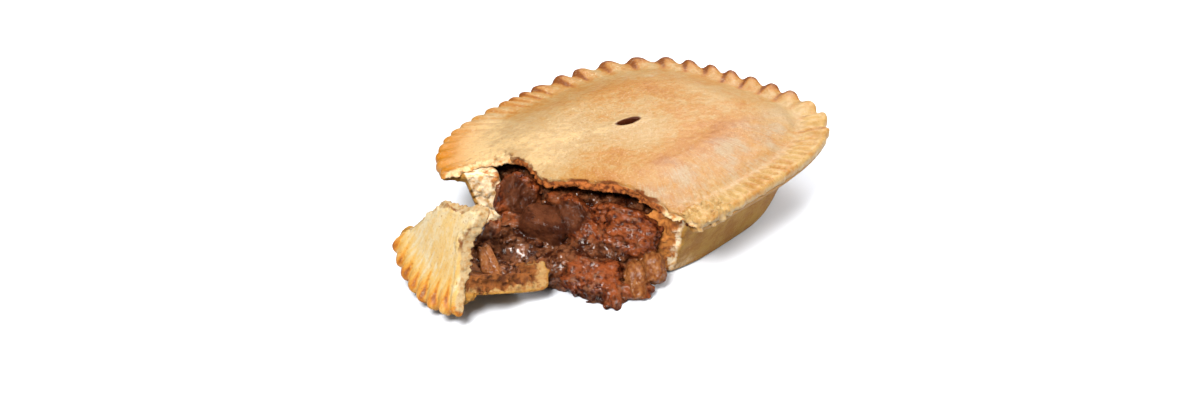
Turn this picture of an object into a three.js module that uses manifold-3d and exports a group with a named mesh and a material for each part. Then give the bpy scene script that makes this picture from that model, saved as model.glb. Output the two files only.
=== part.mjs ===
// A steak and kidney pie, broken open at one end.
// A shortcrust case and a domed lid with a crimped rim hold the filling. The broken-off end lies tipped
// on its side in front of the mouth, and the filling spills between the two.
// Millimetres. The origin is the middle of the flat underside, +X runs along the length with the
// broken end toward -X, +Y is across, and +Z is up.
import * as THREE from 'three';
import { mergeVertices } from 'three/addons/utils/BufferGeometryUtils.js';
import Module from 'manifold-3d';

const wasm = await Module();
wasm.setup();

// Driving dimensions
const PIE_LENGTH = 130;
const PIE_WIDTH = 107;
const CORNER_POWER = 3;
const END_CORNER_POWER = 2;
const CASE_HEIGHT = 23.4;
const PASTRY = 3.8;
const BASE_INSET = 14;
const FLANGE = 7.5;
const FLANGE_THICKNESS = 2.9;
const EDGE_ROUND = 0.8;
const LID_THICKNESS = 3.7;
const LID_RIM_TOP = 26.2;
const LID_TOP = 31.3;
const PLATEAU_INSET = 27;
const PLATEAU_RISE = 0.7;
const MOAT_INSET = 10;
const MOAT_WIDTH = 3;
const MOAT_DEPTH = 0.6;
const GAP = 0.3;

// Crimping round the rim
const FLUTES = 44;
const SEGMENTS_PER_FLUTE = 4;
const FLUTE_REACH = 9;
const FLUTE_OUT = 1.5;
const FLUTE_UP = 1.5;
const FLUTE_STRONGEST = 30;
const FLUTE_FADE = 0.35;
const LID_UNDER_INSETS = [27, 20, 14, 9, 1.2];
const LID_UPPER_INSETS = [1.2, 4.5, 8, 11.5, 15, 20, 27];
const INSIDE_TOP_INSETS = [20, 27];
const CASE_SEGMENTS = 88;

// Vent slit in the lid
const VENT_LENGTH = 8.9;
const VENT_WIDTH = 4;
const VENT_AT = [-0.9, 3];
const VENT_TURN = -12;

// Broken edges, seen from above, as the corners that the break runs through
const LID_BREAK = [[-61, 30], [-52, 25], [-46, 21], [-45, 14], [-47, 6], [-48.5, -2], [-45, -9],
  [-40, -18], [-37, -27], [-35.8, -36], [-37.5, -45], [-43, -56]];
const CASE_BREAK = [[-62, 35.5], [-56, 30], [-47.5, 19.5], [-46, 10], [-44, 0], [-42, -12], [-36, -25],
  [-29.5, -37], [-40, -50]];
const END_LID_EDGE = [[-66, 26], [-57, 24.5], [-51, 22], [-45, 17], [-40, 11], [-36, 5], [-34, -3],
  [-32, -11], [-42, -9], [-50, -12], [-56, -15], [-60, -18]];
const END_CASE_EDGE = [[-66, 26], [-57, 25], [-50, 22], [-44, 12], [-43, 0], [-41, -12], [-38, -21],
  [-46, -21.5], [-53, -18.5], [-58, -14]];
const BREAK_STEP = 2.5;
const BREAK_JITTER = 0.7;
const BREAK_REACH = 30;
const BREAK_CLEAR = 1;
const LID_SEED = 11;
const CASE_SEED = 12;
const END_LID_SEED = 13;
const END_CASE_SEED = 14;

// Pose of the broken-off end: tipped over its rim, turned and slid away from the mouth
const END_TILT = 53;
const END_TURN = -14.5;
const END_AT = [-65.3, 1];

// Filling: a heap of gravy, with chunks of steak and kidney standing in it
const FILLING_DROP = 2.2;
const HEAPS = [
  { at: [-40, -14, 0], half: [18, 24, 20] },
  { at: [-45, 7, 0], half: [11, 12, 18] },
  { at: [-50, -30, -1], half: [8, 8, 6] },
  { at: [-59, 3, 0], half: [9, 11, 17] },
];
const CHUNKS = [
  { at: [-46, 11, 17], half: [6.5, 7, 7], turn: [10, 20, 30] },
  { at: [-48.5, -2.5, 14.5], half: [7, 7.5, 6.5], turn: [0, 35, 15] },
  { at: [-42.5, -13, 16.5], half: [6, 6, 7.5], turn: [25, 10, -20] },
  { at: [-35, -28, 15], half: [8, 10, 7.5], turn: [0, 25, 20] },
  { at: [-36, -15, 20.5], half: [6, 8, 4.5], turn: [0, 15, 20] },
  { at: [-46.5, -23, 5.5], half: [8.5, 9, 6.5], turn: [15, 20, 25] },
  { at: [-38, -37, 6], half: [7, 7, 6.5], turn: [20, 0, 30] },
  { at: [-51, -12, 7.5], half: [6, 7, 7], turn: [0, 30, -15] },
  { at: [-61, 3, 7], half: [6.5, 6, 7], turn: [25, 0, 40] },
  { at: [-65, 2, 6.5], half: [3.5, 3, 6], turn: [20, 15, 0] },
];
const CHUNK_DETAIL = 2;
const CHUNK_POWER = 3;
const CHUNK_BUMP = 0.1;
const CHUNK_SEED = 5;
const HEAP_SEGMENTS = 24;
const BOX_REACH = 200;

const TURN = 2 * Math.PI;
const radians = THREE.MathUtils.degToRad;

// A repeatable stream of random numbers from 0 to 1
function seededRandom(seed) {
  let state = seed;
  return () => {
    state = (state + 0x6d2b79f5) | 0;
    let mixed = Math.imul(state ^ (state >>> 15), 1 | state);
    mixed = (mixed + Math.imul(mixed ^ (mixed >>> 7), 61 | mixed)) ^ mixed;
    return ((mixed ^ (mixed >>> 14)) >>> 0) / 4294967296;
  };
}

// Oblong with full round corners: the plan of the pie at some inset from its rim
class OblongCurve extends THREE.Curve {
  constructor(inset, power) {
    super();
    this.power = power;
    this.halfLength = PIE_LENGTH / 2 - inset;
    this.halfWidth = PIE_WIDTH / 2 - inset;
  }

  getPoint(share, target = new THREE.Vector3()) {
    const along = Math.abs(Math.cos(TURN * share) / this.halfLength) ** this.power;
    const across = Math.abs(Math.sin(TURN * share) / this.halfWidth) ** this.power;
    const radius = (along + across) ** (-1 / this.power);
    return target.set(radius * Math.cos(TURN * share), radius * Math.sin(TURN * share), 0);
  }
}

// Crimp height at a segment of the rim, from -0.5 in a valley to 0.5 on a ridge, weaker at the front
function crimp(index, share) {
  const ridge = Math.abs(Math.sin(Math.PI * (index / SEGMENTS_PER_FLUTE)));
  const turned = Math.cos(TURN * share - radians(FLUTE_STRONGEST));
  return (ridge - 0.5) * (1 - FLUTE_FADE * (1 - turned));
}

// The plan of the pie, with points spaced evenly along its rim
class Plan {
  constructor(power, segments) {
    this.power = power;
    const rim = new OblongCurve(0, power).getSpacedPoints(segments).slice(0, segments);
    this.shares = rim.map((point) => Math.atan2(point.y, point.x) / TURN);
  }

  // One closed loop at an inset from the rim, lifted to a height; crimped is how far the crimping shows
  ring(inset, height, crimped = 0) {
    const curve = new OblongCurve(inset, this.power);
    return this.shares.map((share, index) => {
      const point = curve.getPoint(share);
      const lift = crimped * crimp(index, share);
      point.multiplyScalar(1 + (FLUTE_OUT * lift) / point.length());
      point.z = height + FLUTE_UP * lift;
      return point;
    });
  }
}

// Closed body from rings listed from the bottom up the outside and back to the middle of the top
function bodyFromRings(bottomHeight, rings, topHeight) {
  const count = rings[0].length;
  const points = [new THREE.Vector3(0, 0, bottomHeight), ...rings.flat(), new THREE.Vector3(0, 0, topHeight)];
  const top = points.length - 1;
  const index = [];
  for (let side = 0; side < count; side += 1) {
    const next = (side + 1) % count;
    index.push(0, 1 + next, 1 + side);
    for (let level = 0; level < rings.length - 1; level += 1) {
      const lower = 1 + level * count;
      const upper = lower + count;
      index.push(lower + side, lower + next, upper + next);
      index.push(lower + side, upper + next, upper + side);
    }
    index.push(top, top - count + side, top - count + next);
  }
  const geometry = new THREE.BufferGeometry().setFromPoints(points);
  geometry.setIndex(index);
  return geometry;
}

// Join and cut helpers
function toSolid(geometry) {
  const bare = geometry.clone();
  bare.deleteAttribute('normal');
  bare.deleteAttribute('uv');
  const merged = mergeVertices(bare, 1e-4);
  const vertProperties = Float32Array.from(merged.attributes.position.array);
  const triVerts = Uint32Array.from(merged.index.array);
  return new wasm.Manifold(new wasm.Mesh({ numProp: 3, vertProperties, triVerts }));
}

function toGeometry(solid) {
  const mesh = solid.getMesh();
  const geometry = new THREE.BufferGeometry();
  geometry.setAttribute('position', new THREE.BufferAttribute(mesh.vertProperties, 3));
  geometry.setIndex(new THREE.BufferAttribute(mesh.triVerts, 1));
  geometry.computeVertexNormals();
  return geometry;
}

function largestBody(solid) {
  const bodies = solid.decompose();
  return bodies.reduce((best, body) => (body.volume() > best.volume() ? body : best));
}

// Upright prism over an outline seen from above
function prism(corners) {
  const shape = new THREE.Shape(corners.map(([x, y]) => new THREE.Vector2(x, y)));
  const geometry = new THREE.ExtrudeGeometry(shape, { depth: 2 * BREAK_REACH, bevelEnabled: false });
  geometry.translate(0, 0, -BREAK_REACH / 2);
  return toSolid(geometry);
}

// Ragged line through the corners of a break, with each step thrown a little to the side
function raggedLine(corners, seed) {
  const random = seededRandom(seed);
  const curve = new THREE.SplineCurve(corners.map(([x, y]) => new THREE.Vector2(x, y)));
  const steps = Math.round(curve.getLength() / BREAK_STEP);
  return curve.getSpacedPoints(steps).map((point) => [
    point.x + BREAK_JITTER * (2 * random() - 1),
    point.y + BREAK_JITTER * (2 * random() - 1),
  ]);
}

// Everything on the open side of a break that crosses the pie, moved out by some distance
function openSide(corners, seed, moved = 0) {
  const line = raggedLine(corners, seed).map(([x, y]) => [x - moved, y]);
  const first = line[0];
  const last = line[line.length - 1];
  const far = -PIE_LENGTH / 2 - BREAK_REACH;
  return prism([...line, [last[0] - BREAK_REACH / 2, last[1] - BREAK_REACH], [far, last[1] - BREAK_REACH],
    [far, first[1] + BREAK_REACH / 2], [first[0] - BREAK_REACH / 2, first[1] + BREAK_REACH / 2]]);
}

// The outline of the broken-off end, closed past the rim, with its edge moved out by some distance
function endSide(corners, seed, moved = 0) {
  const line = raggedLine(corners, seed).map(([x, y]) => {
    const away = new THREE.Vector2(x + PIE_LENGTH / 2, y).setLength(moved);
    return [x + away.x, y + away.y];
  });
  const far = -PIE_LENGTH / 2 - BREAK_REACH;
  return prism([...line, [far, line[line.length - 1][1]], [far, line[0][1]]]);
}

// The whole pastry case, before it was broken; grow thickens it all round
function wholeCase(power, grow = 0) {
  const plan = new Plan(power, CASE_SEGMENTS);
  const underFlange = CASE_HEIGHT - FLANGE_THICKNESS;
  const rings = [
    plan.ring(BASE_INSET + EDGE_ROUND - grow, -grow),
    plan.ring(BASE_INSET - grow, EDGE_ROUND),
    plan.ring(FLANGE - grow, underFlange - grow),
    plan.ring(2 * EDGE_ROUND - grow, underFlange + EDGE_ROUND - grow),
    plan.ring(EDGE_ROUND - grow, CASE_HEIGHT - EDGE_ROUND),
    plan.ring(2 * EDGE_ROUND - grow, CASE_HEIGHT + grow),
    plan.ring(FLANGE + PASTRY - EDGE_ROUND + grow, CASE_HEIGHT + grow),
    plan.ring(FLANGE + PASTRY + grow, CASE_HEIGHT - EDGE_ROUND),
    plan.ring(BASE_INSET + PASTRY - EDGE_ROUND + grow, PASTRY + 2 * EDGE_ROUND),
    plan.ring(BASE_INSET + PASTRY + EDGE_ROUND + grow, PASTRY + grow),
  ];
  return toSolid(bodyFromRings(-grow, rings, PASTRY + grow));
}

// Height of the lid's upper face at an inset from the rim: a shallow moat, then a domed plateau
function lidHeight(inset) {
  const moat = MOAT_DEPTH * Math.exp(-(((inset - MOAT_INSET) / MOAT_WIDTH) ** 2));
  const dome = THREE.MathUtils.smoothstep(inset, FLUTE_REACH, PLATEAU_INSET);
  const rise = THREE.MathUtils.smoothstep(inset, PLATEAU_INSET, PIE_WIDTH / 2);
  return LID_RIM_TOP - moat + (LID_TOP - PLATEAU_RISE - LID_RIM_TOP) * dome + PLATEAU_RISE * rise;
}

function lidUnderside(inset) {
  return Math.max(lidHeight(inset) - LID_THICKNESS, CASE_HEIGHT + GAP);
}

// The whole lid, before it was broken; grow thickens it all round
function wholeLid(power, grow = 0) {
  const plan = new Plan(power, FLUTES * SEGMENTS_PER_FLUTE);
  const edgeHeight = (CASE_HEIGHT + LID_RIM_TOP) / 2 + GAP;
  const rings = [
    ...LID_UNDER_INSETS.map((inset) => plan.ring(inset - grow, lidUnderside(inset) - grow)),
    plan.ring(-grow, edgeHeight, 1),
    ...LID_UPPER_INSETS.map((inset) => {
      const shown = 1 - THREE.MathUtils.smoothstep(inset, 0, FLUTE_REACH);
      return plan.ring(inset - grow, lidHeight(inset) + grow, shown);
    }),
  ];
  const middle = PIE_WIDTH / 2;
  return toSolid(bodyFromRings(lidUnderside(middle) - grow, rings, lidHeight(middle) + grow));
}

// Slit in the middle of the lid that lets the steam out
function ventSlit() {
  const geometry = new THREE.CylinderGeometry(VENT_WIDTH / 2, VENT_WIDTH / 2, LID_TOP, CASE_SEGMENTS / 4);
  geometry.rotateX(Math.PI / 2);
  geometry.scale(VENT_LENGTH / VENT_WIDTH, 1, 1);
  geometry.rotateZ(radians(VENT_TURN));
  geometry.translate(VENT_AT[0], VENT_AT[1], LID_TOP);
  return toSolid(geometry);
}

// The space inside the whole pie that the filling takes up, before anything spilled
function wholeInside(power) {
  const plan = new Plan(power, CASE_SEGMENTS);
  const clear = PASTRY + GAP;
  const rings = [
    plan.ring(BASE_INSET + clear + EDGE_ROUND, clear),
    plan.ring(BASE_INSET + clear - EDGE_ROUND, clear + 2 * EDGE_ROUND),
    plan.ring(FLANGE + clear, CASE_HEIGHT - FILLING_DROP),
    ...INSIDE_TOP_INSETS.map((inset) => plan.ring(inset, lidUnderside(inset) - FILLING_DROP)),
  ];
  return toSolid(bodyFromRings(clear, rings, lidUnderside(PIE_WIDTH / 2) - FILLING_DROP));
}

// A smooth mound of gravy
function heap({ at, half }) {
  const geometry = new THREE.SphereGeometry(1, HEAP_SEGMENTS, HEAP_SEGMENTS / 2);
  geometry.scale(...half);
  geometry.translate(...at);
  return toSolid(geometry);
}

// A lump of meat: a rounded block with uneven sides
function chunk({ at, half, turn }, random) {
  const geometry = new THREE.IcosahedronGeometry(1, CHUNK_DETAIL);
  geometry.deleteAttribute('normal');
  geometry.deleteAttribute('uv');
  const lump = mergeVertices(geometry, 1e-4);
  const points = lump.attributes.position;
  const point = new THREE.Vector3();
  for (let index = 0; index < points.count; index += 1) {
    point.fromBufferAttribute(points, index);
    const block = point.toArray().reduce((sum, side) => sum + Math.abs(side) ** CHUNK_POWER, 0);
    point.multiplyScalar(block ** (-1 / CHUNK_POWER) * (1 + CHUNK_BUMP * (2 * random() - 1)));
    points.setXYZ(index, point.x, point.y, point.z);
  }
  lump.scale(...half);
  const [rollX, rollY, rollZ] = turn.map(radians);
  lump.rotateX(rollX).rotateY(rollY).rotateZ(rollZ);
  lump.translate(...at);
  return toSolid(lump);
}

// Everything above the table
function aboveTable() {
  const geometry = new THREE.BoxGeometry(2 * BOX_REACH, 2 * BOX_REACH, BOX_REACH);
  geometry.translate(0, 0, BOX_REACH / 2);
  return toSolid(geometry);
}

// Materials, with the colours seen on each piece
const crust = { roughness: 0.6, metalness: 0 };
const materials = {
  pastry_case: new THREE.MeshStandardMaterial({ color: '#cf9f63', ...crust }),
  pastry_lid: new THREE.MeshStandardMaterial({ color: '#e8b878', ...crust }),
  broken_end_case: new THREE.MeshStandardMaterial({ color: '#c79a60', ...crust }),
  broken_end_lid: new THREE.MeshStandardMaterial({ color: '#f0c27c', ...crust }),
  filling: new THREE.MeshStandardMaterial({ color: '#77402a', roughness: 0.35, metalness: 0 }),
};

function namedMesh(name, solid) {
  const mesh = new THREE.Mesh(toGeometry(solid), materials[name]);
  mesh.name = name;
  return mesh;
}

// The pie that is still standing
const lidOpening = openSide(LID_BREAK, LID_SEED);
const caseOpening = openSide(CASE_BREAK, CASE_SEED);
const lidSolid = largestBody(wholeLid(CORNER_POWER).subtract(lidOpening).subtract(ventSlit()));
const caseSolid = largestBody(wholeCase(CORNER_POWER).subtract(caseOpening));

// The broken-off end, first cut out of a whole crust and then laid down
const endLidOutline = endSide(END_LID_EDGE, END_LID_SEED);
const endCaseOutline = endSide(END_CASE_EDGE, END_CASE_SEED);
const endLidSolid = largestBody(wholeLid(END_CORNER_POWER).intersect(endLidOutline));
const endCaseSolid = largestBody(wholeCase(END_CORNER_POWER).intersect(endCaseOutline));
const hinge = new THREE.Group();
hinge.position.x = PIE_LENGTH / 2 - BASE_INSET;
hinge.add(namedMesh('broken_end_lid', endLidSolid), namedMesh('broken_end_case', endCaseSolid));
const brokenEnd = new THREE.Group();
brokenEnd.add(hinge);
brokenEnd.rotation.set(0, radians(-END_TILT), radians(END_TURN), 'ZYX');
brokenEnd.position.set(...END_AT, 0);
brokenEnd.position.z = -new THREE.Box3().setFromObject(brokenEnd, true).min.z;
brokenEnd.updateMatrixWorld(true);

function laidDown(solid) {
  return toSolid(toGeometry(solid).applyMatrix4(hinge.matrixWorld));
}

// The filling, kept clear of every crust
const keptInside = wholeInside(CORNER_POWER).subtract(lidOpening);
const endInside = laidDown(wholeInside(END_CORNER_POWER).intersect(endCaseOutline));
const random = seededRandom(CHUNK_SEED);
const lumps = [...HEAPS.map(heap), ...CHUNKS.map((entry) => chunk(entry, random))];
const spilled = lumps.reduce((sum, lump) => sum.add(lump), keptInside.add(endInside));
const crusts = [
  wholeLid(CORNER_POWER, GAP).subtract(openSide(LID_BREAK, LID_SEED, BREAK_CLEAR)),
  wholeCase(CORNER_POWER, GAP).subtract(openSide(CASE_BREAK, CASE_SEED, BREAK_CLEAR)),
  laidDown(wholeLid(END_CORNER_POWER, GAP).intersect(endSide(END_LID_EDGE, END_LID_SEED, BREAK_CLEAR))),
  laidDown(wholeCase(END_CORNER_POWER, GAP).intersect(endSide(END_CASE_EDGE, END_CASE_SEED, BREAK_CLEAR))),
];
const clearOfCrusts = crusts.reduce((rest, pastry) => rest.subtract(pastry), spilled);
const fillingSolid = largestBody(clearOfCrusts.intersect(aboveTable()));

const group = new THREE.Group();
group.add(namedMesh('pastry_case', caseSolid));
group.add(namedMesh('pastry_lid', lidSolid));
group.add(namedMesh('filling', fillingSolid));
group.add(brokenEnd);

export default group;
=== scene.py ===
# %% [markdown]
# # A steak and kidney pie, broken open
# The pie stands on its flat base with one end broken away. The broken-off end lies tipped in front of the
# mouth, and meat and gravy spill between the two. The packed solids give every size and place, and this
# lesson gives the pie its baked skin, its torn crumb and its wet filling.

# %% Load the packed pie
import math

import bpy
import numpy as np
import openvdb
from mathutils import Matrix, Vector


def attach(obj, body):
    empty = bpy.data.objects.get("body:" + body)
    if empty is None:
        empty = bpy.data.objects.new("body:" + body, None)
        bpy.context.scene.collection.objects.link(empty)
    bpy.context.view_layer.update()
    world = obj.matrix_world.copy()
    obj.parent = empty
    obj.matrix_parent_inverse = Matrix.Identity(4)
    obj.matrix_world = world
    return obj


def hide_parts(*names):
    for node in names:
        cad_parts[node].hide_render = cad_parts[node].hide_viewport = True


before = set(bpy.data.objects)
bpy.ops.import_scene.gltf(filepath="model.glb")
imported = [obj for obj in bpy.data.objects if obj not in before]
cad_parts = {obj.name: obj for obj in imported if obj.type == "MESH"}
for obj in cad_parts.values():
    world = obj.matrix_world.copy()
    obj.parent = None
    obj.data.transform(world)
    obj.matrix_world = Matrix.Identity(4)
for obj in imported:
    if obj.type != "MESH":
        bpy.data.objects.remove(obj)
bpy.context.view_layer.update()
MM = 0.001

# %% [markdown]
# ## Camera
# The photo was taken from about 28 degrees above the table, from the side of the broken end. A camera can be
# aimed by hand, but a bearing, a height angle and a distance are easier to check, so it is placed by those.

# %% Camera at the photo's angle
IMAGE_WIDTH_PX = 1200
FOCAL_PX = 1415
SENSOR_MM = 36.0
LOOK_AT = Vector((-5.3, 11.5, 0.0)) * MM
BEARING = math.radians(-49.5)
RISE = math.radians(28.5)
DISTANCE = 487 * MM
NEAREST_SEEN = 10 * MM

toward_camera = Vector((
    math.sin(BEARING) * math.cos(RISE),
    -math.cos(BEARING) * math.cos(RISE),
    math.sin(RISE),
))
lens = bpy.data.cameras.new("camera")
lens.sensor_width = SENSOR_MM
lens.lens = SENSOR_MM * FOCAL_PX / IMAGE_WIDTH_PX
lens.clip_start = NEAREST_SEEN
camera = bpy.data.objects.new("camera", lens)
camera.location = LOOK_AT + toward_camera * DISTANCE
camera.rotation_euler = toward_camera.to_track_quat("Z", "Y").to_euler()
bpy.context.scene.collection.objects.link(camera)
bpy.context.scene.camera = camera
print("lens", round(lens.lens, 1), "mm, camera at", [round(c / MM) for c in camera.location])

# %% [markdown]
# ## Table and light
# The pie is shown on plain white in soft light. One lamp could give it, but the wet gravy would mirror a big
# lamp and turn grey. So a pale sky and two broad lamps, above and to the right, give the even light and are
# hidden from glossy rays, and two smaller lamps, to the left and behind, draw the shadows and the glints. The
# colours are shown as they are, with no film curve, so that they can be compared with the photo.

# %% White table and soft lamps
SKY_COLOUR = (1.0, 0.985, 0.965, 1.0)
SKY_STRENGTH = 0.42
TABLE_COLOUR = (0.53, 0.56, 0.61, 1.0)
TABLE_SIDE = 6.0
TABLE_DROP = 0.05 * MM
# Each lamp has a name, a place, an aim and a size in millimetres, watts, a colour, and whether gloss
# shows it.
LAMPS = [
    ("lamp_above", (70, -40, 640), (0, 0, 0), 900, 4.4, (1.0, 0.98, 0.95), False),
    ("lamp_right", (330, -330, 330), (10, -20, 10), 300, 3.0, (1.0, 0.98, 0.95), False),
    ("lamp_left", (-445, -180, 485), (-30, 0, 10), 190, 8.8, (1.0, 0.97, 0.93), True),
    ("lamp_behind", (380, 170, 400), (0, 0, 20), 220, 2.4, (1.0, 0.98, 0.96), True),
]

bpy.context.scene.view_settings.view_transform = "Standard"
world = bpy.data.worlds.new("studio")
bpy.context.scene.world = world
world.use_nodes = True
world.node_tree.nodes["Background"].inputs["Color"].default_value = SKY_COLOUR
world.node_tree.nodes["Background"].inputs["Strength"].default_value = SKY_STRENGTH
world.cycles_visibility.glossy = False

for name, place, aim, size, watts, colour, in_gloss in LAMPS:
    lamp_data = bpy.data.lights.new(name, "AREA")
    lamp_data.shape = "SQUARE"
    lamp_data.size = size * MM
    lamp_data.energy = watts
    lamp_data.color = colour
    lamp = bpy.data.objects.new(name, lamp_data)
    lamp.location = Vector(place) * MM
    lamp.rotation_euler = (Vector(place) - Vector(aim)).to_track_quat("Z", "Y").to_euler()
    lamp.visible_glossy = in_gloss
    bpy.context.scene.collection.objects.link(lamp)

half = TABLE_SIDE / 2
corners = [(-half, -half, 0), (half, -half, 0), (half, half, 0), (-half, half, 0)]
table_mesh = bpy.data.meshes.new("table")
table_mesh.from_pydata(corners, [], [(0, 1, 2, 3)])
table = bpy.data.objects.new("table", table_mesh)
table.location.z = -TABLE_DROP
bpy.context.scene.collection.objects.link(table)
table_paint = bpy.data.materials.new("white_table")
table_paint.use_nodes = True
table_shader = table_paint.node_tree.nodes["Principled BSDF"]
table_shader.inputs["Base Color"].default_value = TABLE_COLOUR
table_shader.inputs["Roughness"].default_value = 0.9
table_shader.inputs["Specular IOR Level"].default_value = 0.1
table_mesh.materials.append(table_paint)
print("lamps:", [lamp_values[0] for lamp_values in LAMPS], "and a table", TABLE_SIDE, "m wide")

# %% [markdown]
# ## Smooth random bumps
# Pastry and meat are uneven at every size. Blender's displacement could add that to a finished mesh, but a
# torn edge also needs overhangs and loose flakes. So each piece is first written as a field, a number that
# is negative inside the food and positive outside, bumps are added to the field, and only then is a skin
# drawn where the field is zero. This cell makes the bumps from a seeded table of random numbers.

# %% Bumps and blends for the fields
class Bumps:
    """Smooth random values from -1 to 1, the same on every run."""

    SIDE = 64

    def __init__(self, seed):
        shape = (self.SIDE,) * 3
        self.table = np.random.default_rng(seed).uniform(-1, 1, shape).astype(np.float32)

    def __call__(self, x, y, z, size):
        cells = []
        blends = []
        for value, step in zip((x, y, z), np.broadcast_to(size, 3)):
            scaled = np.asarray(value, np.float32) / np.float32(step)
            whole = np.floor(scaled)
            part = scaled - whole
            cells.append(whole.astype(np.int32))
            blends.append(part * part * (3 - 2 * part))
        total = 0
        for corner in range(8):
            weight = 1
            index = []
            for axis in range(3):
                upper = corner >> axis & 1
                weight = weight * (blends[axis] if upper else 1 - blends[axis])
                index.append((cells[axis] + upper) & (self.SIDE - 1))
            total = total + weight * self.table[tuple(index)]
        return total


def smooth_step(value, low, high):
    share = np.clip((value - low) / (high - low), 0, 1)
    return share * share * (3 - 2 * share)


def smooth_max(first, second, radius):
    share = np.clip(0.5 + 0.5 * (first - second) / radius, 0, 1)
    return second + (first - second) * share + radius * share * (1 - share)


def smooth_min(first, second, radius):
    return -smooth_max(-first, -second, radius)


broad_bumps = Bumps(3)
small_bumps = Bumps(8)
crumb_bumps = Bumps(21)
flake_bumps = Bumps(34)
probe = broad_bumps(np.linspace(0, 50, 500), 0, 0, 5)
print("bumps run from", round(float(probe.min()), 2), "to", round(float(probe.max()), 2))

# %% [markdown]
# ## The plan of the pie
# Seen from above the pie is an oblong with full round corners. Plain x and y could place everything on it,
# but the crimps, the moat inside them and the browning all follow the rim. So each point of the pastry is
# described by how far it lies in from the rim and how far round it. The broken-off end sprang open a little,
# so its rim is rounder.

# %% Inset from the rim, and distance round it
PIE_LENGTH = 130.0
PIE_WIDTH = 107.0
PIE_POWER = 3.0
END_POWER = 2.0
OUTSIDE_REACH = 20.0
HALVINGS = 22
RIM_SAMPLES = 1441


def inset_at(x, y, power):
    """How far a point lies in from the rim, found by halving the interval."""
    x, y = np.broadcast_arrays(np.abs(x), np.abs(y))
    low = np.full(x.shape, -OUTSIDE_REACH)
    high = np.full(x.shape, PIE_WIDTH / 2 - 0.5)
    for _ in range(HALVINGS):
        middle = (low + high) / 2
        share = (x / (PIE_LENGTH / 2 - middle)) ** power + (y / (PIE_WIDTH / 2 - middle)) ** power
        low = np.where(share > 1, low, middle)
        high = np.where(share > 1, middle, high)
    return (low + high) / 2


def round_rim(x, y, power):
    """Distance round the rim from +X, in millimetres, at the bearing of a point."""
    bearing = np.linspace(0, 2 * np.pi, RIM_SAMPLES)
    along = np.abs(np.cos(bearing) / (PIE_LENGTH / 2)) ** power
    across = np.abs(np.sin(bearing) / (PIE_WIDTH / 2)) ** power
    radius = (along + across) ** (-1 / power)
    steps = np.hypot(np.diff(radius * np.cos(bearing)), np.diff(radius * np.sin(bearing)))
    return np.interp(np.arctan2(y, x) % (2 * np.pi), bearing, np.concatenate([[0], np.cumsum(steps)]))


print("rim is", round(float(round_rim(1.0, -1e-6, PIE_POWER)), 1), "mm round")

# %% [markdown]
# ## Crimps
# The rim was pinched by hand. The pinches are wide and deep round the back and the right end, closer along
# the left, and only shallow along the front, where the rim was pressed with a finger. A repeating wave would
# look stamped, so each pinch has its own place, and a table gives its depth by the distance round the rim.
# Each ridge leans a little, and the narrow crease beside it, on the side away from the light, is painted
# brown as shade.

# %% Crimp ridges round the rim
RIM_ROUND = 400
BACK_PINCHES = [8, 16.7, 26.1, 35, 46.9, 58.7, 71.7, 80.7, 93.4, 100, 105.6, 109.9, 117.7, 125.5]
LEFT_PINCHES = np.linspace(131.7, 200, 12)
FRONT_PINCHES = np.linspace(206, 341, 26)
RIGHT_PINCHES = [347.1, 359.6, 370.2, 380.9, 389.6, 398.8]
PINCH_ROUND = [0, 60, 82, 100, 125, 165, 200, 250, 335, 352, 400]
PINCH_DEPTHS = [0.95, 1.0, 0.9, 0.6, 0.4, 0.4, 0.9, 0.2, 0.15, 0.8, 0.95]
CRIMP_REACH = 9.0
CRIMP_OUT = 1.6
CRIMP_UP = 1.7
CRIMP_SLANT = 0.4
CREASE_AT = 0.3
CREASE_WIDTH = 0.14
DENT_SPACING = 4.5
DENT_WIDTH = 0.8

pinches = np.array([*BACK_PINCHES, *LEFT_PINCHES, *FRONT_PINCHES, *RIGHT_PINCHES])
pinches = np.array([pinches[-1] - RIM_ROUND, *pinches, pinches[0] + RIM_ROUND])


def crimp_at(around, inset):
    """Ridge height from -0.5 in a valley to 0.5 on a ridge, and the painted shade in the narrow fold beside
    each ridge.
    """
    slanted = (around + CRIMP_SLANT * inset) % RIM_ROUND
    phase = np.interp(slanted, pinches, np.arange(len(pinches)))
    leaning = (phase % 1) ** 0.85
    ridge = 1 - (0.5 - 0.5 * np.cos(2 * np.pi * leaning)) ** 1.5
    depth = np.interp(around, PINCH_ROUND, PINCH_DEPTHS)
    # Painted shade: the crust beside each ridge, on its side away from the light, is darkened.
    crease = np.exp(-(((leaning - CREASE_AT) / CREASE_WIDTH) ** 2))
    crease = crease * smooth_step(inset, 0, 3) * (1 - smooth_step(inset, 6, 13))
    return (ridge - 0.5) * depth, crease * depth


def dents_at(around, inset):
    """Short finger dents inside the front edge, where the rim was only pressed."""
    share = (around / DENT_SPACING + 0.3 * broad_bumps(around, 5, 0, 9)) % 1
    dent = np.exp(-(((share - 0.5) * DENT_SPACING / DENT_WIDTH) ** 2))
    pressed = smooth_step(around, 235, 265) * (1 - smooth_step(around, 350, 375))
    return dent * pressed * smooth_step(inset, 1.2, 3.5) * (1 - smooth_step(inset, 6.5, 9.5))


print("pinches round the whole rim:", len(pinches) - 2)

# %% [markdown]
# ## Torn outlines
# A Boolean could cut the end off, but shortcrust tears, and a tear is ragged at every size. So the breaks
# are described by a few corners, seen from above. A smooth curve is run through them, and the distance to
# that curve is the field of the break. Bumps of several sizes then tear it: large ones wander, flat wide
# ones leave the layered flakes of pastry, and fine ones leave crumbs.

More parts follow.
